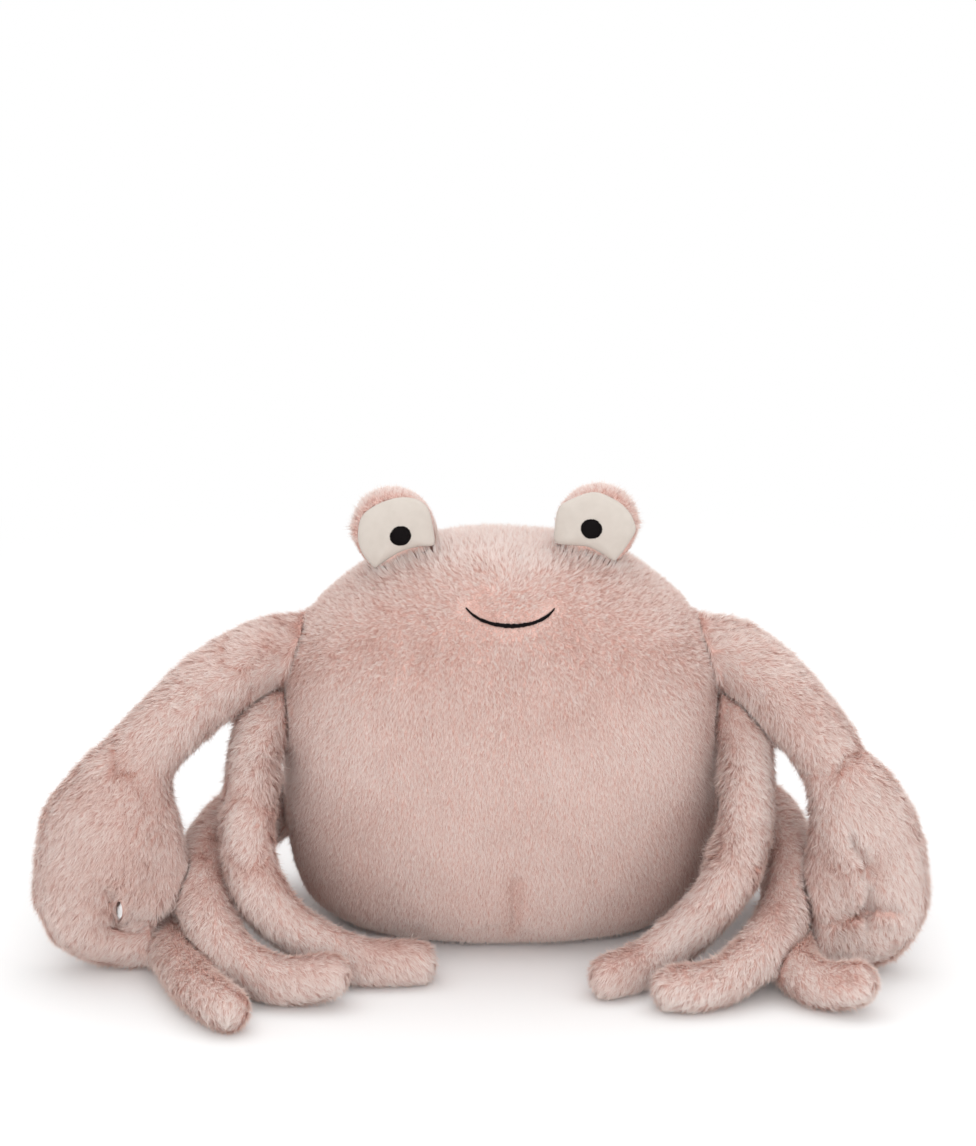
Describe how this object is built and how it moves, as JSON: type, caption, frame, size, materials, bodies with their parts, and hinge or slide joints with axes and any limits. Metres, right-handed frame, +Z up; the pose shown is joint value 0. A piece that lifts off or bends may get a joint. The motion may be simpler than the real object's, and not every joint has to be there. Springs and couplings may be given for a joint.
{
  "type": "plush crab",
  "caption": "Seated plush crab with a round furry body, long bendy legs and big claws that lie on the floor, stitched smile and eyes on furry pods.",
  "frame": {"origin": "middle of the body's flat base, on the floor", "axes": "+Z up, the face looks along -Y, and the crab's width lies along X, with the piece names' left at -X as seen from the front"},
  "size_m": [0.5417, 0.2832, 0.2836],
  "materials": {
    "fur": "short, soft, dusty pink polyester pile fabric with paler tips",
    "suede": "smooth cream microfibre suede",
    "thread": "black satin-stitch embroidery thread"
  },
  "bodies": {
    "root": {"body": "fur", "left_arm": "fur", "right_arm": "fur", "left_front_leg": "fur", "left_middle_leg": "fur", "left_rear_leg": "fur", "right_front_leg": "fur", "right_middle_leg": "fur", "right_rear_leg": "fur", "left_eye_pod": "fur", "right_eye_pod": "fur", "left_eye_white": "suede", "right_eye_white": "suede", "left_pupil": "thread", "right_pupil": "thread", "smile": "thread"}
  },
  "joints": []
}
